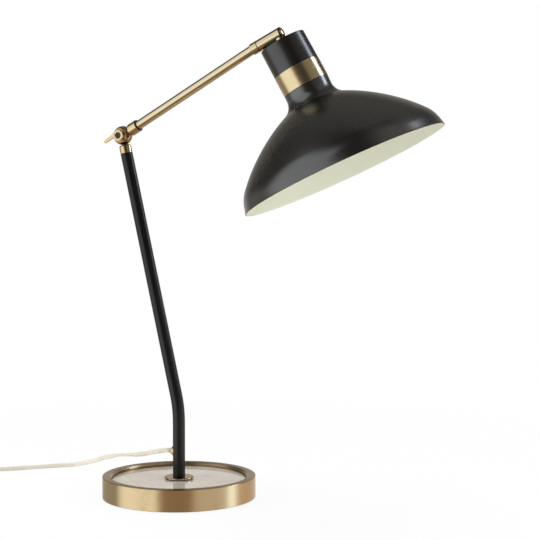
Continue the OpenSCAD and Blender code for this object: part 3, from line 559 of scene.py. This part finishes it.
mesh = bmesh.new()
bend_low = BEND_Z - BEND_R * math.tan(LEAN / 2)
way = [(Vector((0, 0, z)), 0.0) for z in (FLANGE_TOP, FLANGE_TOP + 0.5, 48, 72, bend_low)]
for k in range(1, 13):
    a = LEAN * k / 12
    way.append((Vector((-BEND_R + BEND_R * math.cos(a), 0, bend_low + BEND_R * math.sin(a))), a))
lean_way = Vector((-math.sin(LEAN), 0, math.cos(LEAN)))
start = way[-1][0]
reach = (BALL - lean_way * STEM_TOP - start).length
way += [(start + lean_way * reach * u, LEAN) for u in (0.25, 0.5, 0.75, 1 - 0.5 / reach, 1)]
rings = []
for i, (centre, a) in enumerate(way):
    r = STEM_R if 0 < i < len(way) - 1 else 7.6
    made = bmesh.ops.create_circle(mesh, segments=96, radius=r,
                                   matrix=Matrix.Translation(centre) @ Matrix.Rotation(-a, 4, "Y"))
    rings.append({e for v in made["verts"] for e in v.link_edges})
for a, b in zip(rings, rings[1:]):
    bmesh.ops.bridge_loops(mesh, edges=list(a | b))
for ring in (rings[0], rings[-1]):
    bmesh.ops.contextual_create(mesh, geom=list(ring))
stem = finish_mesh(mesh, "stem_bar")
dress(stands_for(stem, "base", "black_coat", "stem_tube"), stem_coat)

# Black nylon for washers, rings, the screw's insert and the tie. At the knuckle and the arm's
# collar the black rings also stand for the shade in the joints' narrow gaps, so there they are
# partly painted shade.
nylon_and_gap_shade = mottled("black_nylon_and_gap_shade", 300, 3, (0.008, 0.008, 0.009), (0.02, 0.02, 0.021),
                (1200, 2, 0.15, 0.0002), Roughness=0.42)
for name in ("ferrule_washer", "knuckle_washer", "screw_insert", "collar_ring", "swivel_washer",
             "coil_tie"):
    dress(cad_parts[name], nylon_and_gap_shade)
dress(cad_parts["cord_bush"],
      brushed_brass("bush_brass", (0, 0, EXIT_Z), (1, 0, 0), tint=(0.62, 0.50, 0.32), shine=0.25))

wire = mottled("wire_sleeve", 80, 3, (0.58, 0.54, 0.45), (0.70, 0.66, 0.57), Roughness=0.5)
for name in ("stem_lead", "arm_lead", "head_lead"):
    dress(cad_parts[name], wire)


# The knuckle.
# A brass ball split down its middle: the rear half stands on the stem's ferrule
# and the front half carries the arm. A thumbscrew with one blade clamps them.
SPIGOT_HOLE_R = 4.05
ferrule = turned("stem_ferrule_cup", [
    (SPIGOT_HOLE_R, -FERRULE_AT - 3), (SPIGOT_HOLE_R, -FERRULE_AT), (STEM_R, -FERRULE_AT, 0.5),
    (STEM_R, -STEM_TOP, 0.3), (6.4, -STEM_TOP), (6.4, -STEM_TOP - 11),
    (SPIGOT_HOLE_R, -STEM_TOP - 11), (SPIGOT_HOLE_R, -FERRULE_AT - 3)],
    in_stem, radius=0.15)
dress(stands_for(ferrule, "base", "brass", "stem_ferrule"),
      brushed_brass("ferrule_brass", BALL, lean_way, tint=(0.64, 0.48, 0.26), shine=0.17,
                    lines=0.5))
for name in ("knuckle_lower", "knuckle_upper"):
    dress(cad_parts[name],
          brushed_brass(name + "_brass", BALL, Vector((0, 1, 0)), tint=(0.44, 0.31, 0.16),
                        shine=0.17, lines=0.4))
dress(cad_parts["wing_screw"],
      brushed_brass("thumbscrew_brass", BALL, Vector((0, 1, 0)), tint=(0.62, 0.48, 0.27),
                    shine=0.2, lines=0.4))


# The arm.
# A straight brass tube of 12 mm, brushed round. It is held in a collar with a
# black end ring at the knuckle, and in the swivel's own collar at the far end.
ARM_ANGLE = math.radians(27.8)
ARM_LEN = 225
in_arm = Matrix.Translation(BALL) @ Matrix.Rotation(math.pi / 2 - ARM_ANGLE, 4, "Y")
arm_way = in_arm.to_3x3() @ Z
ARM_R, ARM_BORE = 6, 5
tube_start, tube_end, collar_end = FERRULE_AT + 5.3, ARM_LEN + 5.5, FERRULE_AT + 12.7
tube = turned("arm_bar", [
    (ARM_BORE, 40), (ARM_BORE, tube_start), (ARM_R, tube_start), (ARM_R, tube_end),
    (ARM_BORE, tube_end), (ARM_BORE, 40)], in_arm, radius=0.1)
dress(stands_for(tube, "arm", "brass_tube", "arm_tube"),
      brushed_brass("arm_brass", BALL, arm_way, tint=(0.61, 0.53, 0.35), shine=0.16, lines=0.4,
                    stain=0.3))
collar = turned("arm_collar_cup", [
    (SPIGOT_HOLE_R, FERRULE_AT + 3), (SPIGOT_HOLE_R, FERRULE_AT), (8.2, FERRULE_AT, 0.5),
    (8.2, collar_end, 0.3), (6.05, collar_end), (6.05, tube_start), (SPIGOT_HOLE_R, tube_start),
    (SPIGOT_HOLE_R, FERRULE_AT + 3)], in_arm, radius=0.1)
dress(stands_for(collar, "arm", "brass", "arm_collar"),
      brushed_brass("collar_brass", BALL, arm_way, tint=(0.64, 0.50, 0.29), shine=0.18,
                    lines=0.6))

DIP = math.radians(2.8)
in_barrel = in_arm @ Matrix.Translation((0, 0, ARM_LEN)) @ Matrix.Rotation(DIP, 4, "Y")
barrel_way = in_barrel.to_3x3() @ Z
swivel_brass = brushed_brass("swivel_brass", in_barrel.translation, barrel_way,
                             tint=(0.58, 0.49, 0.31), shine=0.16, lines=0.5, stain=0.3)
BARREL_R = 7.5
end_collar = turned("swivel_collar", [
    (SPIGOT_HOLE_R, 8), (SPIGOT_HOLE_R, 5.55), (6.3, 5.5), (6.35, 0.3), (BARREL_R, 0, 0.35),
    (BARREL_R, 10, 0.25), (SPIGOT_HOLE_R, 10), (SPIGOT_HOLE_R, 8)], in_barrel, radius=0.1)
dress(stands_for(end_collar, "arm", "brass", "arm_end_collar"), swivel_brass)


# The head's barrel.
# A brass sleeve that turns on the spindle, with a dark plug in its end and a
# small domed screw. The cap hangs from its side on a hollow stud.
HEAD_POS = 40.8
PLUG_AT, PLUG_END = 45, 46.7
TURN = math.radians(9.3)
HEAD_LEAN = math.radians(2.3)
in_cap = (in_barrel @ Matrix.Translation((0, 0, HEAD_POS)) @ Matrix.Rotation(TURN, 4, "Z")
          @ Matrix.Rotation(-math.pi / 2 - HEAD_LEAN, 4, "Y"))
cap_way = in_cap.to_3x3() @ Z
barrel = turned("swivel_barrel", [
    (4.08, 14), (4.08, 10.9), (BARREL_R, 10.9, 0.25), (BARREL_R, PLUG_AT, 0.1), (5.8, PLUG_AT),
    (5.8, 17.4), (4.08, 17.4), (4.08, 14)], in_barrel, radius=0.1)
dress(stands_for(barrel, "head", "brass", "head_barrel"), swivel_brass)
plug = turned("barrel_end_cap", [
    (2.05, 45.8), (2.05, PLUG_AT), (BARREL_R, PLUG_AT, 0.1), (BARREL_R, 45.8, 0.3),
    (6.6, PLUG_END, 0.25), (2.05, PLUG_END), (2.05, 45.8)], in_barrel, radius=0.1)
dark_brass = brushed_brass("dark_brass", in_barrel.translation, barrel_way,
                           tint=(0.10, 0.075, 0.05), shine=0.25, lines=0.5)
dress(stands_for(plug, "head", "brass_dark", "barrel_plug"), dark_brass)
DOME_R, DOME_H = 5.2, 1.9
dome = [(DOME_R * math.sin(a), PLUG_END + DOME_H * math.cos(a)) for a in
        [math.pi / 2 * k / 10 for k in range(11)]]
screw = turned("barrel_dome",
               dome + [(DOME_R, PLUG_END), (2, PLUG_END), (2, PLUG_AT), (0, PLUG_AT)],
               in_barrel, radius=0, sharp=50)
dress(stands_for(screw, "head", "brass_screw", "barrel_screw"),
      brushed_brass("dome_brass", in_barrel.translation, barrel_way, tint=(0.72, 0.50, 0.28),
                    shine=0.15, lines=0.3))
dress(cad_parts["head_saddle"], swivel_brass)


# The cap.
# A drawn steel cup in the stem's satin black that hides the lampholder, with a
# brushed brass band pressed over its lower edge.
CAP_TOP, BAND_TOP, BAND_END = -10.4, -47.6, -73.2
cap = turned("head_cup", [
    (4.3, -11), (4.3, CAP_TOP), (29.75, CAP_TOP, 1.1), (30.05, BAND_TOP, 0.05),
    (29.55, BAND_TOP, 0.05),
    (29.55, -72.8), (28.35, -72.8), (28.35, -11.6), (4.3, -11.6), (4.3, -11)], in_cap,
    segments=192, radius=0.2, steps=5)
dress(stands_for(cap, "head", "black_coat", "head_cap"), cap_coat)
band = turned("head_hoop", [
    (29.6, -60), (29.6, BAND_TOP), (30.35, BAND_TOP, 0.22), (30.35, BAND_END, 0.22),
    (29.6, BAND_END), (29.6, -60)], in_cap, segments=192, radius=0.05)
dress(stands_for(band, "head", "brass_band", "head_band"),
      brushed_brass("band_brass", in_cap.translation, cap_way, tint=(0.58, 0.47, 0.28),
                    shine=0.22, lines=0.8, stain=0.3))


# The shade.
# A wide dome spun from sheet metal, satin black outside and cream inside, with
# a turned-in edge at the rim. A plate in its neck hangs on the lampholder.
HANG = math.radians(3.9)
HANG_WAY = math.radians(42)
in_shade = (in_cap @ Matrix.Translation((0, 0, BAND_END)) @ Matrix.Rotation(HANG_WAY, 4, "Z")
            @ Matrix.Rotation(HANG, 4, "Y"))
RIM_R, SHADE_H, NECK_R, SHEET = 134.9, 115.3, 30, 1.2
FLARE, FLANK_A, HOLLOW_A = (math.radians(a) for a in (14.5, 39.7, 66))
RIM_WALL, SHOULDER_R, HOLLOW_R, NECK_LEN = 9.5, 44.9, 19, 8.5


def at_angle(a):
    return Vector((math.cos(a), math.sin(a)))


shoulder_c = Vector((RIM_R - RIM_WALL * math.tan(FLARE), RIM_WALL)) - SHOULDER_R * at_angle(FLARE)
hollow_c = Vector((NECK_R + HOLLOW_R, SHADE_H - NECK_LEN))
flank = [shoulder_c + SHOULDER_R * at_angle(FLANK_A), None, None,
         hollow_c - HOLLOW_R * at_angle(HOLLOW_A)]
flank_len = (flank[3] - flank[0]).length
flank[1] = flank[0] + 0.35 * flank_len * Vector((-math.sin(FLANK_A), math.cos(FLANK_A)))
flank[2] = flank[3] - 0.28 * flank_len * Vector((-math.sin(HOLLOW_A), math.cos(HOLLOW_A)))


def skin(depth):
    """The shade's outline from the rim to the neck, at a depth below its outside."""
    out = []
    for k in range(1, 5):
        z = RIM_WALL * k / 5
        out.append(Vector((RIM_R - z * math.tan(FLARE) - depth / math.cos(FLARE), z)))
    for k in range(17):
        a = FLARE + (FLANK_A - FLARE) * k / 16
        out.append(shoulder_c + (SHOULDER_R - depth) * at_angle(a))
    for k in range(1, 36):
        u = k / 36
        at = (flank[0] * (1 - u) ** 3 + flank[1] * 3 * (1 - u) ** 2 * u
              + flank[2] * 3 * (1 - u) * u * u + flank[3] * u ** 3)
        way = ((flank[1] - flank[0]) * (1 - u) ** 2 + (flank[2] - flank[1]) * 2 * (1 - u) * u
               + (flank[3] - flank[2]) * u * u).normalized()
        out.append(at - depth * Vector((way.y, -way.x)))
    for k in range(17):
        out.append(hollow_c - (HOLLOW_R + depth) * at_angle(HOLLOW_A * (1 - k / 16)))
    return out


outside, inside = skin(0), skin(SHEET)
neck_top = SHADE_H - 0.3
edge = [Vector((RIM_R - 1.3, 0.3)), Vector((RIM_R - 1.0, 0.02)), Vector((RIM_R - 0.3, 0.02)),
        Vector((RIM_R, 0.35))]
outline = (inside[::-1] + edge + outside + [Vector((NECK_R, neck_top))]
           + [Vector((NECK_R - SHEET, neck_top))])
outline.append(outline[0])
mesh = bmesh.new()
verts = [mesh.verts.new((q.x, 0, q.y - SHADE_H)) for q in outline]
for a, b in zip(verts, verts[1:]):
    mesh.edges.new((a, b))
bmesh.ops.spin(mesh, geom=mesh.verts[:] + mesh.edges[:], cent=(0, 0, 0), axis=(0, 0, 1),
               angle=2 * math.pi, steps=256, use_merge=True)
bmesh.ops.remove_doubles(mesh, verts=mesh.verts, dist=0.0005)
# The neck's top is cut square to the cap, which the shade hangs askew under.
for vert in mesh.verts:
    if vert.co.z > -8:
        vert.co.z += vert.co.x * math.tan(HANG) * min(max((vert.co.z + 8) / 7.7, 0), 1)
shade = finish_mesh(mesh, "spun_shade", in_shade)
cream = mottled("cream_enamel", 25, 4, (0.77, 0.78, 0.63), (0.82, 0.83, 0.69),
                (900, 2, 0.06, 0.0002), Roughness=0.45, IOR=1.5)
bare_edge = mottled("worn_rim", 120, 3, (0.10, 0.028, 0.016), (0.20, 0.07, 0.04), Roughness=0.5)
dress(shade, shade_coat, cream, bare_edge)
axis_at, axis_way = in_shade.translation * MM, (in_shade.to_3x3() @ Z)
# The inside is cream, and the rim's lowest edge shows the bare undercoat.
for face in shade.data.polygons:
    from_axis = face.center - axis_at
    h = from_axis.dot(axis_way)
    out = from_axis - axis_way * h
    inward = face.normal.dot(out.normalized()) - 0.35 * face.normal.dot(axis_way) < 0
    face.material_index = 1 if inward and h < -0.002 else 0
    if h < (0.45 - SHADE_H) * MM and not inward:
        face.material_index = 2
stands_for(shade, "head", "black_coat", "shade")


# The lampholder and the bulb.
# A black moulded holder hangs on the stud inside the cap, with a ceramic block
# and a brass sleeve. Its ring clamps the shade's plate. The bulb is frosted.
moulded = mottled("black_resin", 120, 3, (0.010, 0.010, 0.011), (0.022, 0.022, 0.023),
                  (900, 3, 0.12, 0.0002), Roughness=0.38)
for name in ("holder_dome", "holder_case", "holder_skirt", "shade_ring", "shade_plate"):
    dress(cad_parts[name], moulded)
dress(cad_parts["holder_block"],
      mottled("glazed_ceramic", 60, 3, (0.72, 0.70, 0.64), (0.82, 0.80, 0.75), Roughness=0.18))
dress(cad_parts["holder_sleeve"],
      brushed_brass("sleeve_brass", in_cap.translation, cap_way, shine=0.3, lines=0.6))
dress(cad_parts["bulb_glass"],
      mottled("frosted_glass", 40, 3, (0.84, 0.83, 0.79), (0.90, 0.89, 0.86), Roughness=0.35,
              Subsurface_Weight=0.3, Subsurface_Radius=(0.01, 0.01, 0.01)))


# The switch and the plug.
# Ivory mouldings on the lead: a rocker switch in two screwed halves, and a flat
# plug with a ribbed relief and two plain brass blades.
shell = mottled("ivory_moulding", 70, 3, (0.76, 0.73, 0.64), (0.83, 0.80, 0.71),
                (800, 3, 0.10, 0.0002), Roughness=0.3, IOR=1.48)
for name in ("switch_base", "switch_cover", "switch_rocker", "plug_relief", "plug_body"):
    dress(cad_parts[name], shell)
dress(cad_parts["plug_blades"],
      brushed_brass("blade_brass", tuple(plug_at), tuple(end_way), tint=(0.74, 0.58, 0.30),
                    shine=0.25, lines=0.4))


# The studio.
# A white floor, soft lamps from above and both sides, and a plain surround that
# shiny pieces mirror: a wide panel on the left, a narrow strip on the right.
mesh = bmesh.new()
bmesh.ops.create_grid(mesh, x_segments=1, y_segments=1, size=12)
data = bpy.data.meshes.new("floor")
mesh.to_mesh(data)
mesh.free()
floor = add_object("floor", data)
floor.location.z = -0.0002
paper = Finish("white_paper", Base_Color=(0.86, 0.86, 0.86, 1), Roughness=0.9,
               Specular_IOR_Level=0.1)
seen = paper.node("ShaderNodeLightPath", {}, out="Is Camera Ray")
glossy = paper.node("ShaderNodeLightPath", {}, out="Is Glossy Ray")
through = paper.node("ShaderNodeLightPath", {}, out="Is Transmission Ray")
away = paper.vector("LENGTH", paper.place())
white = paper.node("ShaderNodeEmission", {}, (1, 1, 1, 1), 1.0)
clear = paper.node("ShaderNodeBsdfTransparent", {})
mixed = paper.node("ShaderNodeMixShader", {},
                   (seen + through) * (0.9 + 0.1 * paper.step(away, 0.4, 1.2)),
                   Value(paper, paper.shader.outputs[0]), white)
# Shiny pieces look past the floor at the surround, whose lower half stands for it.
mixed = paper.node("ShaderNodeMixShader", {}, glossy, mixed, clear)
paper.tree.links.new(mixed.socket, paper.tree.nodes["Material Output"].inputs["Surface"])
dress(floor, paper)

world = bpy.data.worlds.new("surround")
bpy.context.scene.world = world
world.use_nodes = True


class Surround(Finish):
    """The world's own nodes, written in the same way."""

    def __init__(self, tree):
        self.tree = tree
        self.shader = tree.nodes["Background"]


sky = Surround(world.node_tree)
look = sky.node("ShaderNodeTexCoord", {}, out="Generated")
sideways = sky.vector("DOT_PRODUCT", look, tuple(to_right))
facing = sky.vector("DOT_PRODUCT", look, (math.sin(VIEW_AZIMUTH), -math.cos(VIEW_AZIMUTH), 0))
DEGREES = 180 / math.pi
round_at = sky.maths("ARCTAN2", sideways, facing) * DEGREES
height = sky.maths("ARCSINE", sky.vector("DOT_PRODUCT", look, (0, 0, 1))) * DEGREES


def panel(low, high, soft_low, soft_high):
    """A share that is 1 between two bearings from the camera, with soft edges."""
    return (sky.step(round_at, low - soft_low, low + soft_low)
            * sky.step(round_at, high - soft_high, high + soft_high, 1.0, 0.0))


# Seen from the object, the wide panel reaches from straight left to the front,
# and the bright one stands to the right; behind the camera it is dark. The lower
# half is a warm table, dark in front and pale behind the object.
around = sky.maths("ABSOLUTE", round_at)
table = sky.step(height, 10, -6)
reach_down = sky.step(height, -46, -20)
left_panel = panel(-98, -28, 8, 6) * sky.step(height, 60, 40) * reach_down
middle = panel(24, 78, 6, 3) * reach_down
strip = panel(80, 97, 3, 4) * sky.step(height, 32, 10) * reach_down
window = panel(94, 108, 4, 5) * sky.step(height, 12, 22) * sky.step(height, 50, 36)
right_side = panel(96, 165, 4, 20) * sky.step(height, 26, 2)
left_back = panel(-165, -112, 15, 8) * sky.step(height, 44, 14)
back = sky.step(around, 140, 172) * sky.step(height, 42, 16) * sky.step(height, -24, -4)
high_back = sky.step(height, 25, 55) * sky.step(around, 80, 150)
over = panel(40, 120, 20, 20) * sky.step(height, 30, 45) * sky.step(height, 75, 60)
deep = sky.step(height, -16, -40)
level = (0.06 + table * (0.32 - 0.14 * deep) + left_panel * 1.1 + middle * (0.20 + 0.36 * table)
         + strip * 1.6 + window * 9.0 + right_side * 0.26 + left_back * 0.05 + back * 0.42
         + high_back * 0.16 + over * 0.20)
pale = sky.step(level, 0.3, 1.1)
warm = sky.maths("MAXIMUM", table * panel(-30, 150, 8, 15), deep)
dark_tone = sky.blend(warm, (1.03, 0.96, 0.86), (1.28, 0.90, 0.60))
tone = sky.blend(pale, dark_tone, (0.98, 1.0, 1.02))
tone = sky.blend(sky.maths("MAXIMUM", strip, window), tone, (0.84, 0.95, 1.14))
mirrored = sky.node("ShaderNodeBackground", {}, tone, level)
backdrop = sky.node("ShaderNodeBackground", {}, (1, 1, 1, 1), 1.0)
ambient = sky.node("ShaderNodeBackground", {}, (1, 1, 1, 1), 0.62)
ray = sky.node("ShaderNodeLightPath", {}, out="Is Camera Ray")
gloss_ray = sky.node("ShaderNodeLightPath", {}, out="Is Glossy Ray")
clear_ray = sky.node("ShaderNodeLightPath", {}, out="Is Transmission Ray")
first = sky.node("ShaderNodeMixShader", {}, gloss_ray, ambient, mirrored)
second = sky.node("ShaderNodeMixShader", {}, ray + clear_ray, first, backdrop)
world.node_tree.links.new(second.socket, world.node_tree.nodes["World Output"].inputs["Surface"])


def lamp(name, at, aim, size, watts):
    """A round soft lamp that shiny pieces don't mirror."""
    light = bpy.data.lights.new(name, "AREA")
    light.shape = "DISK"
    light.size = size
    light.energy = watts
    lit = add_object(name, light)
    lit.matrix_world = (Matrix.Translation(at)
                        @ (Vector(at) - Vector(aim)).to_track_quat("Z", "Y").to_matrix().to_4x4())
    lit.visible_glossy = False


lamp("panel_left", (-1.3, -1.7, 0.85), (0.1, 0, 0.3), 1.4, 27)
lamp("strip_right", (2.0, -0.2, 1.0), (0.1, 0, 0.4), 0.7, 9)
lamp("overhead", (0.2, 0.3, 2.4), (0.1, 0, 0.2), 1.6, 20)

bpy.context.scene.view_settings.view_transform = "Standard"
